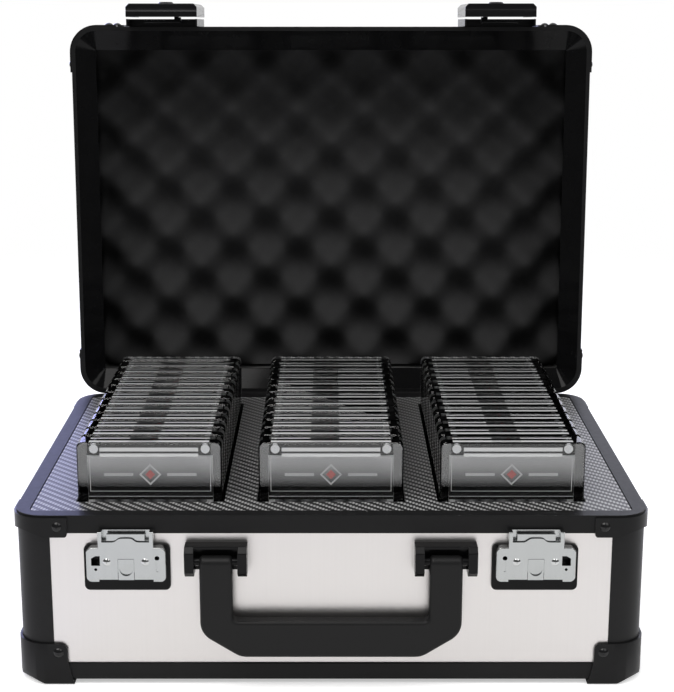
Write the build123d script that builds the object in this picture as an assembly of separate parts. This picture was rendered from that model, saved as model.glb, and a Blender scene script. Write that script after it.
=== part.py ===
from build123d import *
import math
import os

# Graded card storage case, millimetres. X runs along the front, Y from the front to the back, Z up.
# The origin is on the table, under the middle of the base. The lid is drawn closed and then turned open.

# Driving sizes of the case
case_width = 350.0
case_depth = 252.0
base_height = 97.3
lid_height = 79.6
corner_radius = 17.0
stand_height = 2.7
mouth_gap = 0.4
lid_open_angle = 92.0
cut_overrun = 5.0
soft_clearance = 0.3

# Walls and edge rails
wall_thickness = 5.0
wall_inset = 0.8
end_panel_thickness = 4.0
rail_height = 10.3
rail_web = 2.0
rail_edge_radius = 1.5
post_inset = 0.4
post_reach = 20.6
rim_rail_width = 8.5
mouth_inner_radius = 3.0
end_rail_width = 12.0
lid_rail_width = 2.7
trim_width = 12.8
trim_fall = 7.0
trim_thickness = 2.0
trim_inner_radius = 0.6
liner_thickness = 1.0

# Corner metalwork
corner_metal = 1.2
bracket_length = 30.3
bracket_drop = 12.4
bracket_rise = 3.4
bracket_corner = 1.6
bracket_setback = 1.2
cap_length = 31.2
cap_band = 11.5
cap_lobe_length = 28.2
cap_lobe_corner = 4.6
cap_height = 22.0
cap_ball_radius = 7.0
cap_edge_radius = 2.0
rivet_radius = 2.9
rivet_height = 1.4
bracket_rivet_along = 25.0
bracket_rivet_down = 6.5
cap_rivet_along = 23.0
cap_rivet_up = 16.6

# Feet
foot_radius = 8.0
foot_from_side = 45.0
foot_from_front = 40.0

# Card holders and their rows
holder_width = 81.0
holder_height = 118.0
holder_depth = 13.0
holder_pitch = 15.5
holder_corner = 3.2
holder_bevel = 1.0
row_spread_share = 0.2202
row_front = 24.5
row_rear = 24.0
row_names = ("left", "middle", "right")
row_side_gap = 1.2
row_front_gap = 0.8
row_back_gap = 2.5
slot_floor_thickness = 7.0
insert_from_side = 5.5
insert_from_low = 7.7
insert_thickness = 3.0
insert_from_top = 8.8
label_height = 22.0
label_groove = 1.4
label_groove_depth = 0.8
insert_clearance = 0.3
magnet_radius = 2.5
magnet_length = 6.0
magnet_from_side = 9.3
magnet_from_end = 4.5
magnet_clearance = 0.1

# Tray
deck_thickness = 1.2
deck_recess = 0.4

# Lid foam with its crests and hollows
foam_over_holders = 3.0
foam_back_thickness = 12.6
foam_relief = 24.0
foam_half_pitch_x = 23.3
foam_half_pitch_y = 22.0
foam_shift_y = 18.4
foam_steps_per_pitch = 4
foam_fits = (0.05, 0.01, 0.2)
foam_least_share = 0.1

# Hinges
hinge_spacing_share = 0.6
hinge_width = 40.0
hinge_leaf = 1.5
hinge_leaf_height = 26.0
hinge_axis_out = 0.5
knuckle_radius = 2.6
knuckle_gap = 0.3
knuckle_middle = 14.0
hinge_pin_radius = 1.2
hinge_pin_clearance = 0.05
hinge_rivet_spacing = 26.0

# Latches on the base
latch_spacing_share = 0.64
backing_width = 47.4
backing_height = 26.5
backing_thickness = 1.8
backing_radius = 3.0
backing_drop = 16.5
plate_width = 43.5
plate_height = 19.8
plate_depth = 5.15
plate_wall = 0.6
plate_radius = 3.0
plate_edge_radius = 0.5
plate_drop = 16.5
plate_notch_width = 29.5
plate_notch_height = 1.2
channel_width = 30.4
channel_top_drop = 7.5
channel_web = 0.8
ear_thickness = 2.2
shoulder_drop = 13.3
arch_half_width = 7.65
arch_rise = 2.2
arch_shoulder_share = 0.5
arch_shoulder_rise_share = 0.8
latch_rivet_spacing = 21.0
latch_rivet_up = 11.5
latch_rivet_radius = 2.15
latch_rivet_height = 0.9
window_width = 4.8
window_height = 5.6
window_from_centre = 16.6
window_up = 12.3
pinhole_radius = 0.8
pinhole_up = 7.3
keyhole_radius = 1.3
keyhole_slot_width = 1.1
keyhole_slot_length = 7.9
keyhole_slot_depth = 0.35
keyhole_from_centre = 17.0
keyhole_up = 13.8

# Sprung catch and its thumb tongue
catch_width = 20.8
catch_thickness = 0.8
catch_barrel_radius = 1.15
catch_pin_radius = 0.6
catch_pin_clearance = 0.05
catch_axis_drop = 15.0
catch_axis_out = 4.0
catch_out = 4.1
catch_top_drop = 9.1
catch_hook_thickness = 1.0
catch_hook_reach = 1.75
catch_room = 0.4
tongue_width = 8.6
tongue_height = 12.0
tongue_thickness = 1.5
tongue_gap = 0.25
tongue_travel = 3.0
tongue_flange = 2.0
tongue_flange_thickness = 0.8
tongue_flange_up = 1.2
dimple_radius = 3.6
dimple_up = 5.9
dimple_depth = 0.9
dimple_tilt = 8.0

# Strikes and levers on the lid
strike_width = 47.0
strike_length = 46.0
strike_thickness = 4.8
strike_lift = 0.2
strike_setback = 1.0
cheek_thickness = 1.2
cheek_overhang = 16.0
loop_half_width = 11.7
loop_wire_radius = 0.9
loop_drop = 11.3
loop_out = 3.1
lever_overhang = 18.5
lever_gap = 1.3
lever_thickness = 8.7
lever_wall = 1.2
lever_chamfer = 2.2
lever_crease = 0.4
lever_crease_height = 0.9
lever_pin_radius = 1.1
lever_pin_from_end = 3.0
lever_pin_up = 4.0
lever_pin_clearance = 0.05
lever_ear_width = 3.0
lever_ear_length = 6.0
lever_ear_places = (4.4,)
lever_ear_rim = 1.0
rest_lug_width = 2.4
rest_lug_length = 2.0
rest_lug_height = 1.2
rest_lug_from_centre = 10.0
lock_radius = 5.0
lock_rise = 1.4
lock_barrel_radius = 3.6
lock_barrel_length = 5.0
lock_clearance = 0.05
lock_key_width = 1.2
lock_key_depth = 1.0
lock_from_mouth = 14.0

# Carrying handle
handle_spacing = 125.8
bracket_plate_width = 34.2
bracket_plate_height = 15.5
bracket_plate_thickness = 1.8
bracket_top_drop = 15.5
ear_plate_width = 5.2
ear_plate_reach = 9.0
ear_plate_height = 17.3
ear_plate_chamfer = 3.0
bracket_roof = 1.6
arm_width = 18.1
handle_thickness = 9.0
handle_axis_drop = 24.5
handle_axis_out = 6.0
arm_above_axis = 3.4
grip_below_axis = 54.9
grip_height = 21.4
grip_outer_half = 71.9
grip_corner_across = 22.0
grip_corner_up = 13.8
grip_outer_blend = 12.0
grip_inner_blend = 3.0
handle_edge_radius = 2.2
arm_top_radius = 4.0
handle_pin_radius = 2.2
handle_pin_clearance = 0.05

# Heights worked out from the driving sizes
mouth_height = stand_height + base_height
lid_mouth_height = mouth_height + mouth_gap
half_width = case_width / 2
half_depth = case_depth / 2
wall_inner = wall_inset + wall_thickness
hinge_y = half_depth + hinge_axis_out
hinge_z = mouth_height + mouth_gap / 2
hinge_axis = Axis((0, hinge_y, hinge_z), (1, 0, 0))
end_clear = rail_web + end_panel_thickness
row_start = -half_depth + row_front
holders_per_row = 1 + int((case_depth - row_front - row_rear - holder_depth) / holder_pitch)
row_length = (holders_per_row - 1) * holder_pitch + holder_depth
slot_width = holder_width + 2 * row_side_gap
deck_width = case_width - 2 * (rim_rail_width + soft_clearance)
row_pitch = slot_width + row_spread_share * (deck_width - len(row_names) * slot_width)
slot_floor = stand_height + end_clear + slot_floor_thickness
holder_foot = slot_floor + soft_clearance
insert_width = holder_width - 2 * insert_from_side
insert_height = holder_height - insert_from_top - insert_from_low
foam_crest_depth = holder_foot + holder_height - mouth_height + foam_over_holders
foam_deepest = lid_height - end_clear - foam_back_thickness
foam_hollow_depth = min(foam_crest_depth + foam_relief, foam_deepest)
hinge_spacing = hinge_spacing_share * case_width
latch_spacing = latch_spacing_share * case_width
corners = [(side, end) for side in (-1, 1) for end in (-1, 1)]
hinge_places = (-hinge_spacing / 2, hinge_spacing / 2)

nodes = {}


def keep(name, shapes):
    """Put one solid, or a group of separate solids, into its own node."""
    found = [solid for shape in shapes for solid in shape.solids()]
    nodes[name] = found[0] if len(found) == 1 else Compound(found)


def block(x_low, x_high, y_low, y_high, z_low, z_high):
    size = Box(x_high - x_low, y_high - y_low, z_high - z_low)
    return Pos((x_low + x_high) / 2, (y_low + y_high) / 2, (z_low + z_high) / 2) * size


def prism(inset, radius, low, high):
    """The case's rounded outline, drawn in by inset, between two heights."""
    outline = RectangleRounded(case_width - 2 * inset, case_depth - 2 * inset, radius)
    return Pos(0, 0, low) * extrude(outline, high - low)


def ring(outer_inset, inner_inset, low, high):
    """A wall that follows the case's outline between two insets."""
    outer = prism(outer_inset, corner_radius - outer_inset, low, high)
    inner = prism(inner_inset, corner_radius - inner_inset, low - cut_overrun, high + cut_overrun)
    return outer - inner


def rod(radius, length, x, y, z):
    """A round bar along X with its middle at a point."""
    return Pos(x, y, z) * Rot(0, 90, 0) * Cylinder(radius, length)


def post(radius, length, x, y, z):
    """A round bar along Y with its middle at a point."""
    return Pos(x, y, z) * Rot(90, 0, 0) * Cylinder(radius, length)


# Each shell is drawn mouth down: heights run from its mouth at zero to its closed end.
def as_base(shape):
    return Pos(0, 0, mouth_height) * mirror(shape, Plane.XY)


def as_lid(shape):
    return (Pos(0, 0, lid_mouth_height) * shape).rotate(hinge_axis, -lid_open_angle)


def closed_to_open(shape):
    """Turn a piece of the lid, drawn at its place on the closed case, to the open lid."""
    return shape.rotate(hinge_axis, -lid_open_angle)


def hinge_recess():
    """Room in the rails and back wall for the hinge knuckles, in mouth heights."""
    radius = knuckle_radius + knuckle_gap
    length = hinge_width + 2 * knuckle_gap
    return [rod(radius, length, x, hinge_y, -mouth_gap / 2) for x in hinge_places]


def cut_all(shape, cuts):
    for cut in cuts:
        shape = shape - cut
    return shape


def base_rim_rail():
    rail = prism(0, corner_radius, 0, rail_height)
    opening = prism(rim_rail_width, mouth_inner_radius, -cut_overrun, rail_height + cut_overrun)
    groove = ring(wall_inset, wall_inner, rail_web, rail_height + cut_overrun)
    return cut_all(rail - opening - groove, hinge_recess())


def lid_rim_rail():
    rail = ring(0, lid_rail_width, 0, rail_height)
    groove = ring(wall_inset, wall_inner, rail_web, rail_height + cut_overrun)
    return cut_all(rail - groove, hinge_recess())


def end_rail(height):
    """The rail round the closed end: a lip over the walls and a flat ledge under the end panel."""
    start = height - rail_height
    rail = prism(0, corner_radius, start, height)
    rail = fillet(rail.faces().sort_by(Axis.Z)[-1].edges(), rail_edge_radius)
    hole = prism(end_rail_width, corner_radius - end_rail_width, start, height + cut_overrun)
    room = prism(wall_inset, corner_radius - wall_inset, start - cut_overrun, height - rail_web)
    return rail - hole - room


def wall_panels(height):
    """Front, back, left and right walls between the corner posts."""
    wall = ring(wall_inset, wall_inner, rail_web, height - rail_web)
    far = case_width
    x_end = half_width - post_reach
    y_end = half_depth - post_reach
    spans = {
        "front": block(-x_end, x_end, -far, 0, -far, far),
        "back": block(-x_end, x_end, 0, far, -far, far),
        "left": block(-far, 0, -y_end, y_end, -far, far),
        "right": block(0, far, -y_end, y_end, -far, far),
    }
    panels = {side: wall & span for side, span in spans.items()}
    panels["back"] = cut_all(panels["back"], hinge_recess())
    return panels


def corner_span(side, end, along, low, high):
    """The corner of the case within a distance of its two outer faces."""
    far = 2 * corner_metal + cut_overrun
    x_near = side * (half_width - along)
    x_far = side * (half_width + far)
    y_near = end * (half_depth - along)
    y_far = end * (half_depth + far)
    return block(min(x_near, x_far), max(x_near, x_far), min(y_near, y_far), max(y_near, y_far), low, high)


def corner_posts(height):
    tube = ring(post_inset, wall_inner, rail_height, height - rail_height)
    return [tube & corner_span(side, end, post_reach, 0, height) for side, end in corners]


def end_panel(height):
    return prism(wall_inner, corner_radius - wall_inner, height - end_clear, height - rail_web)


def skin(low, high):
    """A band one metal thickness proud of the case."""
    outer = prism(-corner_metal, corner_radius + corner_metal, low, high)
    return outer - prism(0, corner_radius, low - cut_overrun, high + cut_overrun)


def at_corners(piece):
    """A piece drawn for the front right corner, at all four corners."""
    placed = []
    for side, end in corners:
        turned = piece if end < 0 else mirror(piece, Plane.XZ)
        placed.append(turned if side > 0 else mirror(turned, Plane.YZ))
    return placed


def corner_wings(points, rounded):
    """One outline on the front face and the same on the side face, as deep as the corner's rounding.

    The points run along the face from the case's corner and down from the mouth. The second of them
    is rounded off.
    """
    drawn = [(-along, drop) for along, drop in points]
    outline = make_face(Polyline(*drawn, close=True))
    outline = fillet(outline.vertices().sort_by_distance((*drawn[1], 0))[:1], rounded)
    plate = Pos(0, corner_radius, 0) * Rot(90, 0, 0) * extrude(outline, corner_radius + cut_overrun)
    both = plate + mirror(plate, Plane((0, 0, 0), z_dir=(1, 1, 0)))
    return Pos(half_width, -half_depth, 0) * both


def rim_brackets():
    """Angle brackets round each corner below the mouth, their lower edge rising round the corner."""
    outline = [
        (-cut_overrun, bracket_drop),
        (bracket_length, bracket_drop),
        (bracket_length, bracket_setback),
        (-cut_overrun, bracket_setback),
    ]
    bracket = skin(bracket_setback, bracket_drop) & corner_wings(outline, bracket_corner)
    return at_corners(bracket - below_rise())


def below_rise():
    """A wedge under the front right corner's bracket, sloping up towards the corner's outermost line."""
    start = (corner_metal - corner_radius) / math.sqrt(2)
    peak = corner_metal + corner_radius - math.sqrt(2) * corner_radius
    top = bracket_drop - bracket_rise * (cut_overrun - start) / (peak - start)
    low = bracket_drop + cut_overrun
    points = [(start, bracket_drop), (cut_overrun, top), (cut_overrun, low), (start, low)]
    diagonal = Plane((half_width, -half_depth, 0), x_dir=(1, -1, 0), z_dir=(-1, -1, 0))
    return extrude(diagonal * make_face(Polyline(*points, close=True)), case_depth, both=True)


def ball_corner_shell(height):
    """The outside of the four ball corners, rounded off below at the sides and most at the corners."""
    low = height + stand_height
    outside = prism(-corner_metal, corner_radius + corner_metal, height - cap_height, low)
    across = half_width + corner_metal
    along = half_depth + corner_metal
    diagonal = (half_width + half_depth - 2 * corner_radius) / math.sqrt(2) + corner_radius + corner_metal
    turns = [(0, along, cap_edge_radius), (90, across, cap_ball_radius)]
    turns += [(45, diagonal, cap_ball_radius), (-45, diagonal, cap_ball_radius)]
    for turn, reach, radius in turns:
        profile = Pos(0, low - 2 * case_width) * RectangleRounded(2 * reach, 4 * case_width, radius)
        sides = extrude(Plane.YZ * profile, case_width, both=True)
        outside = outside & (Rot(0, 0, turn) * sides)
    return outside - prism(0, corner_radius, -cut_overrun, height)


def end_caps(height):
    """Ball corners at the closed end, each with two wings for its rivets that widen at their foot."""
    outline = [
        (-cut_overrun, height - cap_height),
        (cap_lobe_length, height - cap_height),
        (cap_lobe_length, height - cap_band),
        (cap_length, height + stand_height),
        (-cut_overrun, height + stand_height),
    ]
    wings = corner_wings(outline, cap_lobe_corner)
    under = corner_span(1, -1, cap_lobe_length, height, height + stand_height)
    return at_corners(ball_corner_shell(height) & (wings + under))


def rivet_head(radius, height):
    """A low domed head standing on the plane z = 0."""
    curve = (radius ** 2 + height ** 2) / (2 * height)
    ball = Pos(0, 0, height - curve) * Sphere(curve)
    return ball & Pos(0, 0, height / 2) * Cylinder(2 * radius, height)


def wall_rivet(side, end, along, drop, on_front):
    """A rivet on a corner's metalwork, on its front or back face or on its side face."""
    head = rivet_head(rivet_radius, rivet_height)
    if on_front:
        seat = end * (half_depth + corner_metal)
        return Pos(side * (half_width - along), seat, drop) * Rot(-90 * end, 0, 0) * head
    seat = side * (half_width + corner_metal)
    return Pos(seat, end * (half_depth - along), drop) * Rot(0, 90 * side, 0) * head


def corner_rivets(height):
    heads = []
    for side, end in corners:
        for on_front in (True, False):
            heads.append(wall_rivet(side, end, bracket_rivet_along, bracket_rivet_down, on_front))
            heads.append(wall_rivet(side, end, cap_rivet_along, height - cap_rivet_up, on_front))
    return heads


def feet():
    """Rubber feet from the floor panel down to the table."""
    length = stand_height + rail_web
    pads = []
    for side, end in corners:
        x = side * (half_width - foot_from_side)
        y = end * (half_depth - foot_from_front)
        pads.append(Pos(x, y, length / 2) * Cylinder(foot_radius, length))
    return pads


def row_centre(index):
    return (index - 1) * row_pitch


def slot_block(index, low, high):
    x = row_centre(index)
    reach = slot_width / 2
    y_low = row_start - row_front_gap
    return block(x - reach, x + reach, y_low, row_start + row_length + row_back_gap, low, high)


def tray():
    """The foam block with its three slots, and the deck sheet that covers it."""
    inset = rim_rail_width + soft_clearance
    deck_top = mouth_height - deck_recess
    foam_top = deck_top - deck_thickness
    foam_low = stand_height + end_clear
    deck = prism(inset, mouth_inner_radius, foam_top, deck_top)
    foam = prism(inset, mouth_inner_radius, foam_low, foam_top)
    for index in range(len(row_names)):
        deck -= slot_block(index, foam_low, deck_top + cut_overrun)
        foam -= slot_block(index, slot_floor, foam_top + cut_overrun)
    return deck, foam


def holder_outline(depth):
    """A holder half standing upright with its outer face at y = 0 and its parting face at y = depth."""
    plate = extrude(RectangleRounded(holder_width, holder_height, holder_corner), depth)
    upright = Rot(90, 0, 0) * plate
    return Pos(0, depth, holder_height / 2) * upright


def holder_half():
    """The front half of a holder: bevelled outer face, a pocket for the insert, holes for the magnets."""
    depth = holder_depth / 2
    half = holder_outline(depth)
    half = chamfer(half.faces().sort_by(Axis.Y)[0].edges(), holder_bevel)
    half -= insert_block(insert_clearance)
    for x, z in magnet_places():
        reach = magnet_length + 2 * magnet_clearance
        half -= post(magnet_radius + magnet_clearance, reach, x, depth, z)
    return half


def insert_block(grow):
    """The room that an insert takes up inside its holder."""
    x = insert_width / 2 + grow
    top = holder_height - insert_from_top + grow
    low = holder_height - insert_from_top - insert_height - grow
    y = holder_depth / 2
    half = (insert_thickness + grow) / 2
    return block(-x, x, y - half, y + half, low, top)


def card_insert():
    """The insert: a label plate at the top, a shallow groove, and the card panel below."""
    groove_top = holder_height - insert_from_top - label_height
    y = (holder_depth - insert_thickness) / 2
    y_low = y - cut_overrun
    y_high = y + label_groove_depth
    z_low = groove_top - label_groove
    return insert_block(0) - block(-insert_width, insert_width, y_low, y_high, z_low, groove_top)


def magnet_places():
    ends = (magnet_from_end, holder_height - magnet_from_end)
    from_centre = holder_width / 2 - magnet_from_side
    return [(side * from_centre, end) for side in (-1, 1) for end in ends]


def holder_rows():
    """Three rows of holders, each holder of two halves round an insert and four magnets."""
    front = holder_half()
    back = Pos(0, holder_depth, 0) * mirror(front, Plane.XZ)
    insert = card_insert()
    pins = [post(magnet_radius, magnet_length, x, holder_depth / 2, z) for x, z in magnet_places()]
    for index, name in enumerate(row_names):
        x = row_centre(index)
        spots = [Pos(x, row_start + n * holder_pitch, holder_foot) for n in range(holders_per_row)]
        keep(f"{name}_row_front_shells", [spot * front for spot in spots])
        keep(f"{name}_row_back_shells", [spot * back for spot in spots])
        keep(f"{name}_row_inserts", [spot * insert for spot in spots])
        keep(f"{name}_row_magnets", [spot * pin for spot in spots for pin in pins])


def lid_trim():
    """The sloped frame inside the lid's mouth: rounded corners outside, nearly square ones inside."""
    outer = lid_rail_width
    inner = lid_rail_width + trim_width
    low = trim_fall + trim_thickness
    body = prism(outer, corner_radius - outer, 0, low)
    wide = RectangleRounded(case_width - 2 * outer, case_depth - 2 * outer, corner_radius - outer)
    narrow = RectangleRounded(case_width - 2 * inner, case_depth - 2 * inner, trim_inner_radius)
    slope = loft([wide, Pos(0, 0, trim_fall) * narrow])
    through = extrude(narrow, low + cut_overrun)
    walls = prism(0, corner_radius, rail_web, low + cut_overrun)
    walls -= prism(wall_inner, corner_radius - wall_inner, 0, low + 2 * cut_overrun)
    return body - slope - through - walls


def lid_liner():
    low = trim_fall + trim_thickness
    high = lid_height - end_clear
    return ring(wall_inner, wall_inner + liner_thickness, low, high)


def foam_face(x_reach, y_reach, fit):
    """The foam's wavy face: crests and hollows in a diamond lattice, fitted through a grid of points."""
    columns = math.ceil(2 * foam_steps_per_pitch * x_reach / foam_half_pitch_x)
    rows = math.ceil(2 * foam_steps_per_pitch * y_reach / foam_half_pitch_y)
    middle = (foam_crest_depth + foam_hollow_depth) / 2
    swing = (foam_hollow_depth - foam_crest_depth) / 2
    grid = []
    for column in range(columns + 1):
        x = -x_reach + 2 * x_reach * column / columns
        line = []
        for row in range(rows + 1):
            y = -y_reach + 2 * y_reach * row / rows
            across = math.cos(math.pi * x / foam_half_pitch_x)
            along = math.cos(math.pi * (y - foam_shift_y) / foam_half_pitch_y)
            line.append(Vector(x, y, middle + swing * across * along))
        grid.append(line)
    return Face.make_surface_from_array_of_points(grid, tol=fit)


def lid_foam():
    """Convoluted foam, flat where it is glued to the lid, with the first fit that gives a sound solid."""
    inset = wall_inner + liner_thickness + soft_clearance
    whole = prism(inset, corner_radius - inset, 0, lid_height - end_clear)
    x_reach = half_width - inset + cut_overrun
    y_reach = half_depth - inset + cut_overrun
    for fit in foam_fits:
        thick = Solid.extrude(foam_face(x_reach, y_reach, fit), Vector(0, 0, lid_height))
        foam = whole & thick
        if foam.solids() and foam.volume > foam_least_share * whole.volume:
            return foam
    return whole


def hinge_knuckles(x, spans):
    return [rod(knuckle_radius, high - low, x + (low + high) / 2, hinge_y, hinge_z) for low, high in spans]


def hinge_leaf_plate(x, toward_lid):
    """A hinge leaf on the back face, with its tongues up to its knuckles."""
    half = hinge_width / 2
    middle = knuckle_middle / 2
    clear = knuckle_radius + knuckle_gap
    way = 1 if toward_lid else -1
    near = hinge_z + way * clear
    far = hinge_z + way * (clear + hinge_leaf_height)
    y_high = half_depth + hinge_leaf
    leaf = block(x - half, x + half, half_depth, y_high, min(near, far), max(near, far))
    outer_spans = [(-half, -middle - knuckle_gap), (middle + knuckle_gap, half)]
    spans = outer_spans if toward_lid else [(-middle, middle)]
    for low, high in spans:
        leaf += block(x + low, x + high, half_depth, y_high, min(hinge_z, far), max(hinge_z, far))
    for bar in hinge_knuckles(x, spans):
        leaf += bar
    bore = rod(hinge_pin_radius + hinge_pin_clearance, hinge_width + cut_overrun, x, hinge_y, hinge_z)
    return leaf - bore


def hinge_rivets(x, toward_lid):
    way = 1 if toward_lid else -1
    z = hinge_z + way * (knuckle_radius + knuckle_gap + hinge_leaf_height / 2)
    head = Rot(-90, 0, 0) * rivet_head(rivet_radius, rivet_height)
    places = (x - hinge_rivet_spacing / 2, x + hinge_rivet_spacing / 2)
    return [Pos(place, half_depth + hinge_leaf, z) * head for place in places]


# Latch and strike pieces are drawn on the closed case: out is the distance in front of the rails' face.
def front_block(x_low, x_high, out_low, out_high, z_low, z_high):
    return block(x_low, x_high, -half_depth - out_high, -half_depth - out_low, z_low, z_high)


def front_plate(outline, out_low, out_high, x, z):
    """A flat outline standing on the front face."""
    plate = Rot(90, 0, 0) * extrude(outline, out_high - out_low)
    return Pos(x, -half_depth - out_low, z) * plate


def latch_x(side):
    return side * latch_spacing / 2


plate_low_out = backing_thickness - wall_inset
plate_high_out = plate_low_out + plate_depth
plate_inner_out = plate_high_out - plate_wall
plate_bottom = mouth_height - plate_drop - plate_height
plate_middle = plate_bottom + plate_height / 2
plate_foot = plate_bottom + plate_notch_height
backing_middle = mouth_height - backing_drop - backing_height / 2
channel_top = mouth_height - channel_top_drop
shoulder_z = mouth_height - shoulder_drop
catch_z = mouth_height - catch_axis_drop
catch_y = -half_depth - catch_axis_out


def latch_backing(side):
    outline = RectangleRounded(backing_width, backing_height, backing_radius)
    return front_plate(outline, -wall_inset, plate_low_out, latch_x(side), backing_middle)


def latch_plate(side):
    """The bright cover: a shallow tray with a notched foot, and a channel between two ears at the top."""
    x = latch_x(side)
    outline = RectangleRounded(plate_width, plate_height, plate_radius)
    notch = Pos(0, -plate_height / 2) * Rectangle(plate_notch_width, 2 * plate_notch_height)
    channel_rise = channel_top - plate_middle
    channel = Pos(0, channel_rise / 2) * Rectangle(channel_width, channel_rise)
    cover = front_plate(outline + channel - notch, plate_low_out, plate_high_out, x, plate_middle)
    cover = fillet(cover.faces().sort_by(Axis.Y)[0].edges(), plate_edge_radius)
    inner_width = plate_width - 2 * plate_wall
    inner_height = plate_height - 2 * plate_wall
    inside = RectangleRounded(inner_width, inner_height, plate_radius - plate_wall)
    over_notch = Rectangle(plate_notch_width + 2 * plate_wall, 2 * plate_notch_height)
    raised = Pos(0, plate_wall - plate_height / 2) * over_notch
    cover -= front_plate(inside - raised, plate_low_out, plate_inner_out, x, plate_middle)
    return cut_all(cover, [channel_room(side)] + [above_arch(side)] + plate_openings(side))


def channel_room(side):
    """Room for the catch and the strike's loop, between the ears and behind the cover's front."""
    x = latch_x(side)
    half = channel_width / 2 - ear_thickness
    low = catch_z - catch_barrel_radius - catch_room
    room = front_block(x - half, x + half, plate_low_out + channel_web, plate_inner_out, low, mouth_height)
    bore = rod(catch_pin_radius, 2 * channel_width, x, catch_y, catch_z)
    return room + bore


def above_arch(side):
    """What is cut from the cover's front between the ears: everything above a low arch."""
    half = channel_width / 2 - ear_thickness
    low = shoulder_z - plate_middle
    top = mouth_height - plate_middle
    near = arch_shoulder_share * arch_half_width
    rise = arch_shoulder_rise_share * arch_rise
    arch = Spline(
        (-arch_half_width, low),
        (-near, low + rise),
        (0, low + arch_rise),
        (near, low + rise),
        (arch_half_width, low),
        tangents=((1, 0), (1, 0)),
    )
    corners_round = [(half, low), (half, top), (-half, top), (-half, low)]
    frame = Polyline((arch_half_width, low), *corners_round, (-arch_half_width, low))
    outline = make_face([arch, frame])
    return front_plate(outline, plate_low_out + channel_web, 2 * plate_high_out, latch_x(side), plate_middle)


def plate_window(side):
    """The lock's small window, one corner cut off, on the side of the plate away from the handle."""
    high = window_height / 2
    near = window_width / 2
    points = [(-near, -high), (near, -high), (near, high), (0, high), (-near, high / 2)]
    outline = make_face(Polyline(*[(-side * x, z) for x, z in points], close=True))
    x = latch_x(side) + side * window_from_centre
    return front_plate(outline, plate_low_out, 2 * plate_high_out, x, plate_bottom + window_up)


def plate_openings(side):
    """The window, pinhole and key slot beside the rivets, and the slot that the thumb tongue runs in."""
    x = latch_x(side)
    far = 2 * plate_high_out
    key_x = x - side * keyhole_from_centre
    key_z = plate_bottom + keyhole_up
    pin_x = x + side * window_from_centre
    half_key = keyhole_slot_width / 2
    key_low = key_z - keyhole_slot_length
    key_seat = plate_high_out - keyhole_slot_depth
    half_slot = tongue_width / 2 + tongue_gap
    slot_low_out = plate_high_out - tongue_thickness - tongue_gap
    slot_top = plate_foot + tongue_height + tongue_gap
    front = -half_depth - plate_high_out
    return [
        plate_window(side),
        post(pinhole_radius, plate_depth, pin_x, front, plate_bottom + pinhole_up),
        post(keyhole_radius, plate_depth, key_x, front, key_z),
        front_block(key_x - half_key, key_x + half_key, key_seat, far, key_low, key_z),
        front_block(x - half_slot, x + half_slot, slot_low_out, far, plate_bottom, slot_top),
    ]


def thumb_tongue(side):
    """The release tongue: a flat tab level with the cover, a round dimple for the thumb, a flange inside."""
    x = latch_x(side)
    half = tongue_width / 2
    low = plate_high_out - tongue_thickness
    top = plate_foot + tongue_height
    tab = front_block(x - half, x + half, low, plate_high_out, plate_foot, top)
    flange_half = half + tongue_flange
    flange_low = plate_foot + tongue_travel + tongue_flange_up
    flange_out = low + tongue_flange_thickness
    flange = front_block(x - flange_half, x + flange_half, low, flange_out, flange_low, top)
    tilted = Pos(x, -half_depth - plate_high_out, plate_foot + dimple_up) * Rot(90 + dimple_tilt, 0, 0)
    height = 2 * tongue_thickness
    cutter = tilted * Pos(0, 0, (height - dimple_depth) / 2) * Cylinder(dimple_radius, height)
    return tab + flange - cutter


def catch(side):
    """A sprung catch: barrel on its pin, flat plate, and a hook that reaches in over the strike's loop."""
    x = latch_x(side)
    half = catch_width / 2
    top = mouth_height - catch_top_drop
    outer = catch_out + catch_thickness
    shape = rod(catch_barrel_radius, catch_width, x, catch_y, catch_z)
    shape += front_block(x - half, x + half, catch_out, outer, catch_z, top)
    hook_low = top - catch_hook_thickness
    shape += front_block(x - half, x + half, outer - catch_hook_reach, outer, hook_low, top)
    return shape - rod(catch_pin_radius + catch_pin_clearance, 2 * catch_width, x, catch_y, catch_z)


def catch_pin(side):
    return rod(catch_pin_radius, channel_width, latch_x(side), catch_y, catch_z)


def latch_rivets(side):
    heads = []
    for across in (-latch_rivet_spacing / 2, latch_rivet_spacing / 2):
        place = Pos(latch_x(side) + across, -half_depth - plate_high_out, plate_bottom + latch_rivet_up)
        heads.append(place * Rot(90, 0, 0) * rivet_head(latch_rivet_radius, latch_rivet_height))
    return heads


# Strike heights are measured from the closed lid's mouth: up is into the lid, down is past its edge.
lever_low_out = strike_lift + strike_thickness + lever_gap
lever_high_out = lever_low_out + lever_thickness
lever_pin_z = lid_mouth_height + strike_length - lever_pin_from_end
lever_pin_y = -half_depth - strike_lift - strike_thickness - lever_pin_up
lock_z = lid_mouth_height + lock_from_mouth


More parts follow.
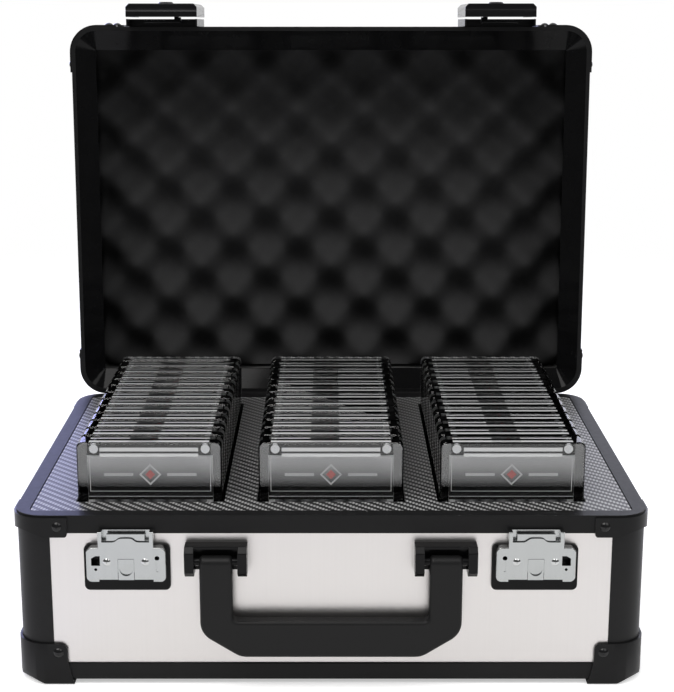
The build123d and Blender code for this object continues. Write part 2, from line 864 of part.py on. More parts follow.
def strike_bracket(side):
    """The strike's body on the lid, its two cheeks, the wire loop that the catch holds, and hinge ears."""
    x = latch_x(side)
    half = strike_width / 2
    low = lid_mouth_height + strike_setback
    lid_end = lid_mouth_height + strike_length
    top_out = strike_lift + strike_thickness
    plate_end = lid_end - lever_ear_length + lever_ear_width / 2
    shape = front_block(x - half, x + half, 0, top_out, low, plate_end)
    for end in (-1, 1):
        outer = x + end * half
        inner = outer - end * cheek_thickness
        cheek_low = lid_mouth_height - cheek_overhang
        shape += front_block(min(outer, inner), max(outer, inner), strike_lift, top_out, cheek_low, low)
    ear_out = top_out + lever_pin_up + lever_pin_radius + lever_ear_rim
    for place in lever_ear_places:
        ear_x = x - side * place
        half_ear = lever_ear_width / 2
        ear_low = lid_end - lever_ear_length
        shape += front_block(ear_x - half_ear, ear_x + half_ear, 0, ear_out, ear_low, lid_end)
    lug_x = x - side * rest_lug_from_centre
    half_lug = rest_lug_width / 2
    lug_out = top_out + rest_lug_height
    shape += front_block(lug_x - half_lug, lug_x + half_lug, 0, lug_out, low, low + rest_lug_length)
    loop_z = mouth_height - loop_drop
    loop_y = -half_depth - loop_out
    root = low + strike_setback
    for end in (-1, 1):
        leg = Pos(x + end * loop_half_width, loop_y, (loop_z + root) / 2)
        shape += leg * Cylinder(loop_wire_radius, root - loop_z)
    shape += rod(loop_wire_radius, 2 * loop_half_width, x, loop_y, loop_z)
    return shape - rod(lever_pin_radius, 2 * strike_width, x, lever_pin_y, lever_pin_z)


def strike_lever(side):
    """The lever over the strike: a pressed cover with a creased front, open towards the lid."""
    x = latch_x(side)
    half = strike_width / 2
    low = lid_mouth_height - lever_overhang
    high = lid_mouth_height + strike_length
    shape = front_block(x - half, x + half, lever_low_out, lever_high_out, low, high)
    shape = chamfer(outer_uprights(shape), lever_chamfer)
    inner = half - lever_wall
    web_out = lever_high_out - lever_wall
    hollow = front_block(x - inner, x + inner, 0, web_out, low + lever_wall, high + cut_overrun)
    shape -= chamfer(outer_uprights(hollow), lever_chamfer)
    crease_out = (lever_low_out + lever_high_out) / 2
    half_crease = lever_crease_height / 2
    shape -= front_block(x - strike_width, x + strike_width, crease_out - half_crease,
                         crease_out + half_crease, low - cut_overrun, low + lever_crease)
    shape -= rod(lever_pin_radius + lever_pin_clearance, 2 * strike_width, x, lever_pin_y, lever_pin_z)
    barrel_radius = lock_barrel_radius + lock_clearance
    return shape - post(barrel_radius, 2 * lever_thickness, x, -half_depth - lever_high_out, lock_z)


def outer_uprights(shape):
    """The two upright edges of a block that are farthest out from the case."""
    return shape.edges().filter_by(Axis.Z).sort_by(Axis.Y)[:2]


def lever_pin(side):
    return rod(lever_pin_radius, strike_width, latch_x(side), lever_pin_y, lever_pin_z)


def lock_barrel(side):
    """A key lock: round face with a key slot, and a barrel through the lever."""
    x = latch_x(side)
    seat = -half_depth - lever_high_out
    face_out = lever_high_out + lock_rise
    face = Pos(x, seat, lock_z) * Rot(90, 0, 0) * extrude(Circle(lock_radius), lock_rise)
    face = chamfer(face.faces().sort_by(Axis.Y)[0].edges(), lock_rise / 2)
    barrel = post(lock_barrel_radius, lock_barrel_length, x, seat + lock_barrel_length / 2, lock_z)
    half_key = lock_key_width / 2
    key = front_block(x - half_key, x + half_key, face_out - lock_key_depth, face_out + cut_overrun,
                      lock_z - lock_barrel_radius, lock_z + lock_barrel_radius)
    return face + barrel - key


handle_axis_z = mouth_height - handle_axis_drop
handle_axis_y = -half_depth - handle_axis_out


def handle_bracket(side):
    """A back plate on the wall and two bevelled ears that hold the handle's pin."""
    x = side * handle_spacing / 2
    top = mouth_height - bracket_top_drop
    half = bracket_plate_width / 2
    plate_out = bracket_plate_thickness - wall_inset
    shape = front_block(x - half, x + half, -wall_inset, plate_out, top - bracket_plate_height, top)
    reach = plate_out + ear_plate_reach
    roof_out = reach - ear_plate_chamfer
    shape += front_block(x - half, x + half, -wall_inset, roof_out, top - bracket_roof, top)
    ear_low = top - ear_plate_height
    for end in (-1, 1):
        outer = x + end * half
        inner = outer - end * ear_plate_width
        ear = front_block(min(outer, inner), max(outer, inner), -wall_inset, reach, ear_low, top)
        shape += chamfer(crosswise(ear.faces().sort_by(Axis.Y)[0]), ear_plate_chamfer)
    return shape - rod(handle_pin_radius, bracket_plate_width + cut_overrun, x, handle_axis_y, handle_axis_z)


def crosswise(face):
    """The straight edges of a face that run along X."""
    return face.edges().filter_by(Axis.X)


def handle_pin(side):
    x = side * handle_spacing / 2
    return rod(handle_pin_radius, bracket_plate_width, x, handle_axis_y, handle_axis_z)


def handle_grip():
    """A flat bar bent to a U, with bevelled lower corners and two eyes for the pins."""
    arm_inner = handle_spacing / 2 - arm_width / 2
    arm_outer = grip_outer_half
    top = arm_above_axis
    low = -grip_below_axis
    right = [
        (arm_inner, low + grip_height),
        (arm_inner, top),
        (arm_outer, top),
        (arm_outer, low + grip_corner_up),
        (arm_outer - grip_corner_across, low),
    ]
    left = [(-x, z) for x, z in reversed(right)]
    outline = make_face(Polyline(*(right + left), close=True))
    outer_bends = [v for v in outline.vertices() if v.Y < low + grip_corner_up + soft_clearance]
    outline = fillet(outer_bends, grip_outer_blend)
    inner_bends = [v for v in outline.vertices() if abs(v.Y - low - grip_height) < soft_clearance]
    outline = fillet(inner_bends, grip_inner_blend)
    half = handle_thickness / 2
    bar = Pos(0, handle_axis_y + half, handle_axis_z) * Rot(90, 0, 0) * extrude(outline, handle_thickness)
    arm_tops = bar.faces().sort_by(Axis.Z)[-2:]
    bar = fillet([edge for face in arm_tops for edge in crosswise(face)], arm_top_radius)
    long_edges = bar.faces().sort_by(Axis.Y)[0].edges() + bar.faces().sort_by(Axis.Y)[-1].edges()
    bar = fillet(long_edges, handle_edge_radius)
    bore_radius = handle_pin_radius + handle_pin_clearance
    for side in (-1, 1):
        bar -= rod(bore_radius, 2 * arm_width, side * handle_spacing / 2, handle_axis_y, handle_axis_z)
    return bar


def make_base():
    panels = wall_panels(base_height)
    for side, panel in panels.items():
        keep(f"base_{side}_panel", [as_base(panel)])
    keep("base_floor_panel", [as_base(end_panel(base_height))])
    keep("base_rim_rail", [as_base(base_rim_rail())])
    keep("base_lower_rail", [as_base(end_rail(base_height))])
    keep("base_corner_posts", [as_base(piece) for piece in corner_posts(base_height)])
    keep("base_rim_brackets", [as_base(piece) for piece in rim_brackets()])
    keep("base_ball_corners", [as_base(piece) for piece in end_caps(base_height)])
    heads = [as_base(piece) for piece in corner_rivets(base_height)]
    for x in hinge_places:
        heads += hinge_rivets(x, False)
    keep("base_rivets", heads)
    keep("feet", feet())
    deck, foam = tray()
    keep("tray_deck", [deck])
    keep("tray_foam", [foam])


def make_lid():
    panels = wall_panels(lid_height)
    for side, panel in panels.items():
        keep(f"lid_{side}_panel", [as_lid(panel)])
    keep("lid_top_panel", [as_lid(end_panel(lid_height))])
    keep("lid_rim_rail", [as_lid(lid_rim_rail())])
    keep("lid_upper_rail", [as_lid(end_rail(lid_height))])
    keep("lid_corner_posts", [as_lid(piece) for piece in corner_posts(lid_height)])
    keep("lid_rim_brackets", [as_lid(piece) for piece in rim_brackets()])
    keep("lid_ball_corners", [as_lid(piece) for piece in end_caps(lid_height)])
    heads = [as_lid(piece) for piece in corner_rivets(lid_height)]
    for x in hinge_places:
        heads += [closed_to_open(piece) for piece in hinge_rivets(x, True)]
    keep("lid_rivets", heads)
    keep("lid_trim_frame", [as_lid(lid_trim())])
    keep("lid_liner", [as_lid(lid_liner())])
    keep("lid_foam", [as_lid(lid_foam())])


def make_hinges():
    keep("hinge_base_leaves", [hinge_leaf_plate(x, False) for x in hinge_places])
    keep("hinge_lid_leaves", [closed_to_open(hinge_leaf_plate(x, True)) for x in hinge_places])
    keep("hinge_pins", [rod(hinge_pin_radius, hinge_width, x, hinge_y, hinge_z) for x in hinge_places])


def make_latches():
    sides = {"left": -1, "right": 1}
    keep("latch_backing_plates", [latch_backing(side) for side in sides.values()])
    keep("latch_plates", [latch_plate(side) for side in sides.values()])
    keep("latch_rivets", [head for side in sides.values() for head in latch_rivets(side)])
    keep("latch_catch_pins", [catch_pin(side) for side in sides.values()])
    keep("strike_brackets", [closed_to_open(strike_bracket(side)) for side in sides.values()])
    keep("strike_lever_pins", [closed_to_open(lever_pin(side)) for side in sides.values()])
    for name, side in sides.items():
        keep(f"{name}_latch_catch", [catch(side)])
        keep(f"{name}_thumb_tongue", [thumb_tongue(side)])
        keep(f"{name}_strike_lever", [closed_to_open(strike_lever(side))])
        keep(f"{name}_lock_barrel", [closed_to_open(lock_barrel(side))])


def make_handle():
    keep("handle_brackets", [handle_bracket(side) for side in (-1, 1)])
    keep("handle_pins", [handle_pin(side) for side in (-1, 1)])
    keep("handle_grip", [handle_grip()])


make_base()
make_lid()
make_hinges()
make_latches()
make_handle()
holder_rows()

os.makedirs("parts", exist_ok=True)
for name, shape in nodes.items():
    export_step(shape, f"parts/{name}.step")
print(len(nodes), "nodes")
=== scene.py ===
import math
import bpy
from mathutils import Matrix, Vector


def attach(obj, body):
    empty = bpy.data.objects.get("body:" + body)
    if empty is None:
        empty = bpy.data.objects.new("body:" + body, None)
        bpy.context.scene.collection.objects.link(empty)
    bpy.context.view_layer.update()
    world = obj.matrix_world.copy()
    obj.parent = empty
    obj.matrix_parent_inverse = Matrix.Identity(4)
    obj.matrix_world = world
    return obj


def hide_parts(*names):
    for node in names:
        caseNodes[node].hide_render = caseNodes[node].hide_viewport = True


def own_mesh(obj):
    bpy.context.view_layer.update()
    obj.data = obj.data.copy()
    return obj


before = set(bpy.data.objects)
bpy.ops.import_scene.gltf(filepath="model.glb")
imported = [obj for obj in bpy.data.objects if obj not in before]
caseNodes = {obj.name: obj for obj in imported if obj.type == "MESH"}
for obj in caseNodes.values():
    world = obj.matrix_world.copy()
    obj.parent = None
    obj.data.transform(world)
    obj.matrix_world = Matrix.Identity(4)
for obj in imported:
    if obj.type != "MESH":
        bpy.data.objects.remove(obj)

# Graded card storage case, in metres. X runs along the front, Y to the back, Z up. The lid stands open.
print("1: the frame is loaded")
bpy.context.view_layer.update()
rowNames = ("left", "middle", "right")
rowCentres = (-0.1015, 0.0, 0.1015)
bpy.ops.object.select_all(action="DESELECT")


# Small helpers for building materials, and the world, whose nodes are built the same way
def newFinish(name, colour, sockets):
    finish = bpy.data.materials.new(name)
    finish.use_nodes = True
    shader = finish.node_tree.nodes["Principled BSDF"]
    shader.inputs["Base Color"].default_value = (*colour, 1)
    for socket, value in sockets.items():
        shader.inputs[socket].default_value = value
    return finish


def addNode(finish, kind, sockets=None, **settings):
    node = finish.node_tree.nodes.new(kind)
    for name, value in settings.items():
        setattr(node, name, value)
    for socket, value in (sockets or {}).items():
        node.inputs[socket].default_value = value
    return node


def joinTo(finish, output, node, socket):
    finish.node_tree.links.new(output, node.inputs[socket])


def shaderOf(finish):
    return finish.node_tree.nodes["Principled BSDF"]


def calculate(finish, operation, *terms):
    # one Math node, whose terms are numbers or other nodes' outputs
    node = addNode(finish, "ShaderNodeMath", operation=operation)
    for place, term in enumerate(terms):
        if isinstance(term, (int, float)):
            node.inputs[place].default_value = term
        else:
            joinTo(finish, term, node, place)
    return node.outputs[0]


def objectPlace(finish, scale=(1, 1, 1), shift=(0, 0, 0)):
    coordinates = addNode(finish, "ShaderNodeTexCoord")
    mapping = addNode(finish, "ShaderNodeMapping", {"Scale": scale, "Location": shift})
    joinTo(finish, coordinates.outputs["Object"], mapping, "Vector")
    return mapping.outputs["Vector"]


def noiseOver(finish, scale, detail=3.0):
    noise = addNode(finish, "ShaderNodeTexNoise", {"Scale": 1.0, "Detail": detail})
    joinTo(finish, objectPlace(finish, scale), noise, "Vector")
    return noise.outputs["Fac"]


def ramp(finish, value, start, end, low=0.0, high=1.0, smooth=False):
    # goes from low to high while the value goes from start to end
    sockets = {"From Min": start, "From Max": end, "To Min": low, "To Max": high}
    kind = "SMOOTHSTEP" if smooth else "LINEAR"
    node = addNode(finish, "ShaderNodeMapRange", sockets, interpolation_type=kind)
    joinTo(finish, value, node, "Value")
    return node.outputs["Result"]


def spread(finish, value, low, high):
    # a 0..1 pattern stretched to run from low to high
    return ramp(finish, value, 0.0, 1.0, low, high)


def blendColours(finish, share, first, second):
    # share 0 shows the first colour and 1 the second
    node = addNode(finish, "ShaderNodeMix", data_type="RGBA")
    for place, colour in ((6, first), (7, second)):      # the node's two colour sockets
        if isinstance(colour, tuple):
            node.inputs[place].default_value = (*colour, 1)
        else:
            joinTo(finish, colour, node, place)
    joinTo(finish, share, node, 0)
    return node.outputs[2]


def bumpFrom(finish, height, strength, distance):
    bump = addNode(finish, "ShaderNodeBump", {"Strength": strength, "Distance": distance})
    joinTo(finish, height, bump, "Height")
    joinTo(finish, bump.outputs["Normal"], shaderOf(finish), "Normal")


# Grained finishes: colour drifts between two tones, roughness between two values, over a fine bump
grainedFinishes = {
    "blackRail": {
        "tones": ((0.0060, 0.0060, 0.0063), (0.0095, 0.0095, 0.0100)), "roughness": (0.40, 0.52),
        "grain": (260, 260, 260), "bump": (0.08, 0.0001), "sockets": {"Specular IOR Level": 0.21},
    },
    "postBlack": {
        "tones": ((0.0065, 0.0065, 0.0068), (0.0110, 0.0110, 0.0116)), "roughness": (0.34, 0.50),
        "grain": (420, 420, 420), "bump": (0.14, 0.0001),
        "sockets": {
            "Specular IOR Level": 0.24, "Sheen Weight": 0.16, "Sheen Roughness": 0.28,
            "Sheen Tint": (0.82, 0.83, 0.95, 1.0),
        },
    },
    "cornerMetal": {
        "tones": ((0.0060, 0.0060, 0.0063), (0.0095, 0.0095, 0.0100)), "roughness": (0.26, 0.38),
        "grain": (190, 190, 190), "bump": (0.07, 0.00015),
        "sockets": {"Specular IOR Level": 0.19, "Sheen Weight": 0.08, "Sheen Roughness": 0.30},
    },
    "rivetBlack": {
        "tones": ((0.0060, 0.0060, 0.0064), (0.0100, 0.0100, 0.0105)), "roughness": (0.10, 0.18),
        "grain": (700, 700, 700), "bump": (0.03, 0.0001), "sockets": {"Specular IOR Level": 0.38},
    },
    "domeGloss": {
        "tones": ((0.0070, 0.0070, 0.0074), (0.0120, 0.0120, 0.0125)), "roughness": (0.08, 0.14),
        "grain": (700, 700, 700), "bump": (0.02, 0.0001), "sockets": {"Specular IOR Level": 0.42},
    },
    "leverGloss": {
        "tones": ((0.0045, 0.0045, 0.0048), (0.0080, 0.0080, 0.0085)), "roughness": (0.10, 0.18),
        "grain": (240, 240, 240), "bump": (0.03, 0.0001), "sockets": {"Specular IOR Level": 0.35},
    },
    "darkSteel": {
        "tones": ((0.035, 0.035, 0.038), (0.070, 0.070, 0.075)), "roughness": (0.22, 0.34),
        "grain": (600, 600, 600), "bump": (0.05, 0.0001), "sockets": {"Metallic": 1.0},
    },
    "footRubber": {
        "tones": ((0.010, 0.010, 0.010), (0.018, 0.018, 0.018)), "roughness": (0.7, 0.9),
        "grain": (900, 900, 900), "bump": (0.3, 0.0002), "sockets": {"Specular IOR Level": 0.3},
    },
    "blackMetal": {
        "tones": ((0.0055, 0.0055, 0.0058), (0.0085, 0.0085, 0.0090)), "roughness": (0.16, 0.26),
        "grain": (300, 300, 300), "bump": (0.04, 0.0001), "sockets": {"Specular IOR Level": 0.14},
    },
    "handlePlastic": {
        "tones": ((0.0085, 0.0085, 0.0087), (0.0135, 0.0135, 0.0138)), "roughness": (0.34, 0.48),
        "grain": (1100, 1100, 1100), "bump": (0.22, 0.00012), "sockets": {"Specular IOR Level": 0.20},
    },
    "satinChrome": {
        "tones": ((0.49, 0.505, 0.505), (0.55, 0.565, 0.565)), "roughness": (0.18, 0.26),
        "grain": (420, 420, 60), "bump": (0.015, 0.00005), "sockets": {"Metallic": 1.0},
    },
    "pinSteel": {
        "tones": ((0.42, 0.42, 0.43), (0.58, 0.58, 0.59)), "roughness": (0.2, 0.35),
        "grain": (60, 900, 900), "bump": (0.05, 0.0001), "sockets": {"Metallic": 1.0},
    },
    "magnetSteel": {
        "tones": ((0.86, 0.86, 0.87), (0.95, 0.95, 0.96)), "roughness": (0.30, 0.42),
        "grain": (900, 900, 900), "bump": (0.04, 0.0001), "sockets": {"Metallic": 1.0},
    },
    "rivetChrome": {
        "tones": ((0.62, 0.63, 0.63), (0.70, 0.71, 0.71)), "roughness": (0.04, 0.09),
        "grain": (500, 500, 500), "bump": (0.01, 0.00005), "sockets": {"Metallic": 1.0},
    },
    "trimGloss": {
        "tones": ((0.0030, 0.0030, 0.0032), (0.0050, 0.0050, 0.0053)), "roughness": (0.05, 0.10),
        "grain": (90, 90, 90), "bump": (0.02, 0.0001), "sockets": {"Specular IOR Level": 0.15},
    },
    "lidLining": {
        "tones": ((0.008, 0.008, 0.008), (0.018, 0.018, 0.018)), "roughness": (0.85, 0.95),
        "grain": (1600, 1600, 1600), "bump": (0.5, 0.0002), "sockets": {"Sheen Weight": 0.2},
    },
    "softFoam": {
        "tones": ((0.022, 0.022, 0.0225), (0.036, 0.036, 0.0365)), "roughness": (0.88, 1.0),
        "grain": (1500, 1500, 1500), "bump": (0.6, 0.0003), "sockets": {"Specular IOR Level": 0.1},
    },
}


def makeGrained(name, look):
    first, second = look["tones"]
    finish = newFinish(name, first, look["sockets"])
    grain = noiseOver(finish, look["grain"])
    joinTo(finish, blendColours(finish, grain, first, second), shaderOf(finish), "Base Color")
    joinTo(finish, spread(finish, grain, *look["roughness"]), shaderOf(finish), "Roughness")
    bumpFrom(finish, grain, *look["bump"])
    return finish


# Satin aluminium with the brush drawn up and down
brushedSilverLook = {
    "tones": ((0.80, 0.772, 0.760), (0.86, 0.832, 0.820)), "roughness": (0.28, 0.38),
    "brush": (700, 700, 5), "bands": (14, 14, 2), "bandDetail": 2.0, "bandShare": 0.45, "bump": (0.06, 0.0002),
}


def makeBrushedSilver(look):
    first, second = look["tones"]
    finish = newFinish("brushedSilver", first, {"Metallic": 1.0})
    brush = noiseOver(finish, look["brush"])
    bands = noiseOver(finish, look["bands"], look["bandDetail"])
    share = calculate(finish, "MULTIPLY", bands, look["bandShare"])
    share = calculate(finish, "MULTIPLY_ADD", brush, 1 - look["bandShare"], share)
    joinTo(finish, blendColours(finish, share, first, second), shaderOf(finish), "Base Color")
    joinTo(finish, spread(finish, brush, *look["roughness"]), shaderOf(finish), "Roughness")
    bumpFrom(finish, brush, *look["bump"])
    return finish


# Two over two twill under a clear coat. Four tows make a repeat, and the ribs run from the back left to the
# front right. The black weave is real; the pale tone on the tows that lie on top is a painted sheen.
twillLook = {
    "tow": 0.00168, "repeat": 4, "over": 2, "edgeShade": 0.12, "bump": (0.35, 0.0003),
    "dark": (0.0025, 0.0025, 0.0026), "light": (0.390, 0.390, 0.390),
    "sockets": {"Roughness": 0.55, "Coat Weight": 0.58, "Coat Roughness": 0.42, "Specular IOR Level": 0.4},
}


def makeTwill(look):
    finish = newFinish("twillDeck", look["dark"], look["sockets"])
    counts = 1 / look["tow"]
    split = addNode(finish, "ShaderNodeSeparateXYZ")
    joinTo(finish, objectPlace(finish, (counts, counts, counts)), split, "Vector")
    across, along = split.outputs["X"], split.outputs["Y"]
    column = calculate(finish, "FLOOR", across)
    row = calculate(finish, "FLOOR", along)
    step = calculate(finish, "ADD", column, row)
    phase = calculate(finish, "FLOORED_MODULO", step, look["repeat"])
    over = calculate(finish, "LESS_THAN", phase, look["over"])
    crowns = []
    for run in (along, across):      # each tow is round across its width, 1 at its middle and 0 at its edges
        offset = calculate(finish, "SUBTRACT", calculate(finish, "FRACT", run), 0.5)
        square = calculate(finish, "MULTIPLY", offset, offset)
        crowns.append(calculate(finish, "MULTIPLY_ADD", square, -4.0, 1.0))
    lift = calculate(finish, "SUBTRACT", crowns[1], crowns[0])
    crown = calculate(finish, "MULTIPLY_ADD", lift, over, crowns[0])
    # painted shade: the painted sheen on each upper tow dims from its crown to its edges
    shade = spread(finish, crown, look["edgeShade"], 1.0)
    tone = calculate(finish, "MULTIPLY", over, shade)
    joinTo(finish, blendColours(finish, tone, look["dark"], look["light"]), shaderOf(finish), "Base Color")
    bumpFrom(finish, crown, *look["bump"])
    return finish


# Clear acrylic. Painted light lies on its top faces: a broad band on the front half, a thin one on the back
# half.
# The foremost holder also has a painted reflection, pale over the upper part of its face, with painted
# highlight lines along its top.
acrylicLook = {
    "tint": (0.985, 0.990, 0.992), "paintedReflection": (0.80, 0.81, 0.815), "sockets": {"IOR": 1.34, "Roughness": 0.0},
    # the painted light bands: where the top faces, the row and each holder begin, and how strong the painted
    # light is on near and far ones
    "topFace": 0.1332, "rowStart": -0.1015, "pitch": 0.0155, "bandEnd": 0.0335,
    "nearShare": 0.78, "farShare": 0.26, "farAt": 0.1, "notchAt": -0.0034, "notchHalf": 0.0080,
    "frontBand": {"from": 0.0011, "to": 0.0042, "inNotch": 0.75},
    "backBand": {"from": 0.0078, "to": 0.0094, "inNotch": 0.04},
    # the painted reflection: its share grows from faceLow to faceHigh, and is stronger past sideFrom
    "faceBack": -0.1012, "faceShare": 0.08, "faceLow": 0.1075, "faceHigh": 0.1150,
    "sideFrom": 0.0345, "sideGain": 1.8,
    # each painted highlight line's height, half its thickness and its strength
    "lines": ((0.1300, 0.0011, 0.62), (0.1268, 0.0009, 0.62)), "lineReach": 0.0275,
    "clearBelow": 0.01,
}


def within(finish, value, low, high):
    # 1 where the value lies between low and high
    middle = (low + high) / 2
    return calculate(finish, "COMPARE", value, middle, high - middle)


def makeAcrylic(name, centre, band, look):
    finish = newFinish(name, look["tint"], look["sockets"])
    split = addNode(finish, "ShaderNodeSeparateXYZ")
    joinTo(finish, objectPlace(finish, shift=(-centre, 0, 0)), split, "Vector")
    across, along, height = split.outputs["X"], split.outputs["Y"], split.outputs["Z"]
    phase = calculate(finish, "SUBTRACT", along, look["rowStart"])
    phase = calculate(finish, "FLOORED_MODULO", phase, look["pitch"])
    aside = calculate(finish, "ABSOLUTE", across)
    # the painted light bands on the top faces, fading towards the back of the row
    depth = ramp(finish, along, look["rowStart"], look["farAt"], look["nearShare"], look["farShare"])
    notch = calculate(finish, "SUBTRACT", across, look["notchAt"])
    notch = calculate(finish, "LESS_THAN", calculate(finish, "ABSOLUTE", notch), look["notchHalf"])
    share = spread(finish, notch, 1.0, band["inNotch"])
    share = calculate(finish, "MULTIPLY", share, depth)
    share = calculate(finish, "MULTIPLY", share, within(finish, phase, band["from"], band["to"]))
    share = calculate(finish, "MULTIPLY", share, calculate(finish, "GREATER_THAN", height, look["topFace"]))
    share = calculate(finish, "MULTIPLY", share, calculate(finish, "LESS_THAN", aside, look["bandEnd"]))
    # the painted reflection and painted highlight lines on the foremost holder
    face = ramp(finish, height, look["faceLow"], look["faceHigh"], high=look["faceShare"], smooth=True)
    side = calculate(finish, "GREATER_THAN", aside, look["sideFrom"])
    paintedReflection = calculate(finish, "MULTIPLY_ADD", side, look["sideGain"], 1.0)
    paintedReflection = calculate(finish, "MULTIPLY", paintedReflection, face)
    for level, half, strength in look["lines"]:
        line = calculate(finish, "COMPARE", height, level, half)
        line = calculate(finish, "MULTIPLY", line, calculate(finish, "LESS_THAN", aside, look["lineReach"]))
        paintedReflection = calculate(finish, "MULTIPLY_ADD", line, strength, paintedReflection)
    paintedReflection = calculate(finish, "MULTIPLY", paintedReflection, calculate(finish, "LESS_THAN", along, look["faceBack"]))
    paintedShare = calculate(finish, "MAXIMUM", share, paintedReflection)
    clear = calculate(finish, "SUBTRACT", 1.0, paintedShare)
    joinTo(finish, clear, shaderOf(finish), "Transmission Weight")
    # painted light: where its share passes clearBelow, the acrylic turns pale grey instead of clear
    tone = calculate(finish, "GREATER_THAN", paintedShare, look["clearBelow"])
    joinTo(finish, blendColours(finish, tone, look["tint"], look["paintedReflection"]), shaderOf(finish), "Base Color")
    return finish


# The printed insert: a dark label with a thin frame, a plain diamond and two bars, over a bordered card.
# A painted reflection greys the label towards its top.
insertLook = {
    "labelLow": 0.1032, "labelHigh": 0.1252, "cardLow": 0.0237, "halfWidth": 0.035,
    "reflectionFrom": 0.1068, "reflectionTo": 0.1245, "dark": (0.0050, 0.0050, 0.0055), "grey": (0.86, 0.855, 0.865),
    "line": 0.00022, "frameInset": 0.0012, "pale": (1.0, 1.0, 1.0), "coral": (0.90, 0.13, 0.11),
    "diamond": 0.0056, "diamondLine": 0.0007, "stoneShare": 0.5,
    "barFrom": 0.0095, "barTo": 0.0260, "barHalf": 0.0009,
    "cardTones": ((0.05, 0.05, 0.055), (0.42, 0.42, 0.43)), "cardBorder": 0.0035, "cardLattice": 0.009,
    "cardTop": 0.0995, "cardHeader": (0.016, 0.017, 0.014), "headerLine": 0.1013, "headerHalf": 0.00025,
    "sockets": {"Roughness": 0.35, "Specular IOR Level": 0.25},
}


def makeInsertPrint(name, centre, look):
    finish = newFinish(name, look["dark"], look["sockets"])
    middle = (look["labelLow"] + look["labelHigh"]) / 2
    halfHeight = (look["labelHigh"] - look["labelLow"]) / 2
    split = addNode(finish, "ShaderNodeSeparateXYZ")
    joinTo(finish, objectPlace(finish, shift=(-centre, 0, 0)), split, "Vector")
    aside = calculate(finish, "ABSOLUTE", split.outputs["X"])
    height = split.outputs["Z"]
    rise = calculate(finish, "ABSOLUTE", calculate(finish, "SUBTRACT", height, middle))
    # painted reflection: the label runs from dark low down to grey at its top
    labelReflection = ramp(finish, height, look["reflectionFrom"], look["reflectionTo"], smooth=True)
    plate = blendColours(finish, labelReflection, look["dark"], look["grey"])
    edgeX = calculate(finish, "SUBTRACT", aside, look["halfWidth"] - look["frameInset"])
    edgeZ = calculate(finish, "SUBTRACT", rise, halfHeight - look["frameInset"])
    frameLine = calculate(finish, "COMPARE", calculate(finish, "MAXIMUM", edgeX, edgeZ), 0.0, look["line"])
    reach = calculate(finish, "ADD", aside, rise)
    ringLine = calculate(finish, "COMPARE", reach, look["diamond"], look["diamondLine"])
    barMiddle = (look["barFrom"] + look["barTo"]) / 2
    bar = calculate(finish, "COMPARE", aside, barMiddle, look["barTo"] - barMiddle)
    bar = calculate(finish, "MULTIPLY", bar, calculate(finish, "LESS_THAN", rise, look["barHalf"]))
    marks = calculate(finish, "MAXIMUM", calculate(finish, "MAXIMUM", frameLine, ringLine), bar)
    plate = blendColours(finish, marks, plate, look["pale"])
    stone = calculate(finish, "LESS_THAN", reach, look["diamond"] * look["stoneShare"])
    plate = blendColours(finish, stone, plate, look["coral"])
    # the card below the label: a pale border round a soft diamond lattice
    diagonals = []
    for sign in (1, -1):
        run = calculate(finish, "MULTIPLY_ADD", split.outputs["X"], sign, height)
        diagonals.append(calculate(finish, "PINGPONG", run, look["cardLattice"] / 2))
    lattice = calculate(finish, "MULTIPLY", calculate(finish, "ADD", *diagonals), 1 / look["cardLattice"])
    field = blendColours(finish, lattice, *look["cardTones"])
    rim = calculate(finish, "GREATER_THAN", aside, look["halfWidth"] - look["cardBorder"])
    low = calculate(finish, "LESS_THAN", height, look["cardLow"] + look["cardBorder"])
    card = blendColours(finish, calculate(finish, "MAXIMUM", rim, low), field, look["pale"])
    header = calculate(finish, "COMPARE", height, look["headerLine"], look["headerHalf"])
    header = blendColours(finish, header, look["cardHeader"], look["grey"])
    card = blendColours(finish, calculate(finish, "GREATER_THAN", height, look["cardTop"]), card, header)
    onLabel = calculate(finish, "GREATER_THAN", height, look["labelLow"])
    joinTo(finish, blendColours(finish, onLabel, card, plate), shaderOf(finish), "Base Color")
    return finish


finishes = {name: makeGrained(name, look) for name, look in grainedFinishes.items()}
finishes["brushedSilver"] = makeBrushedSilver(brushedSilverLook)
finishes["twillDeck"] = makeTwill(twillLook)
for rowName, rowCentre in zip(rowNames, rowCentres):
    for half in ("front", "back"):
        finishName = f"{rowName}{half.title()}Acrylic"
        finishes[finishName] = makeAcrylic(finishName, rowCentre, acrylicLook[half + "Band"], acrylicLook)
    finishes[rowName + "Insert"] = makeInsertPrint(rowName + "Insert", rowCentre, insertLook)
print("2: materials made")

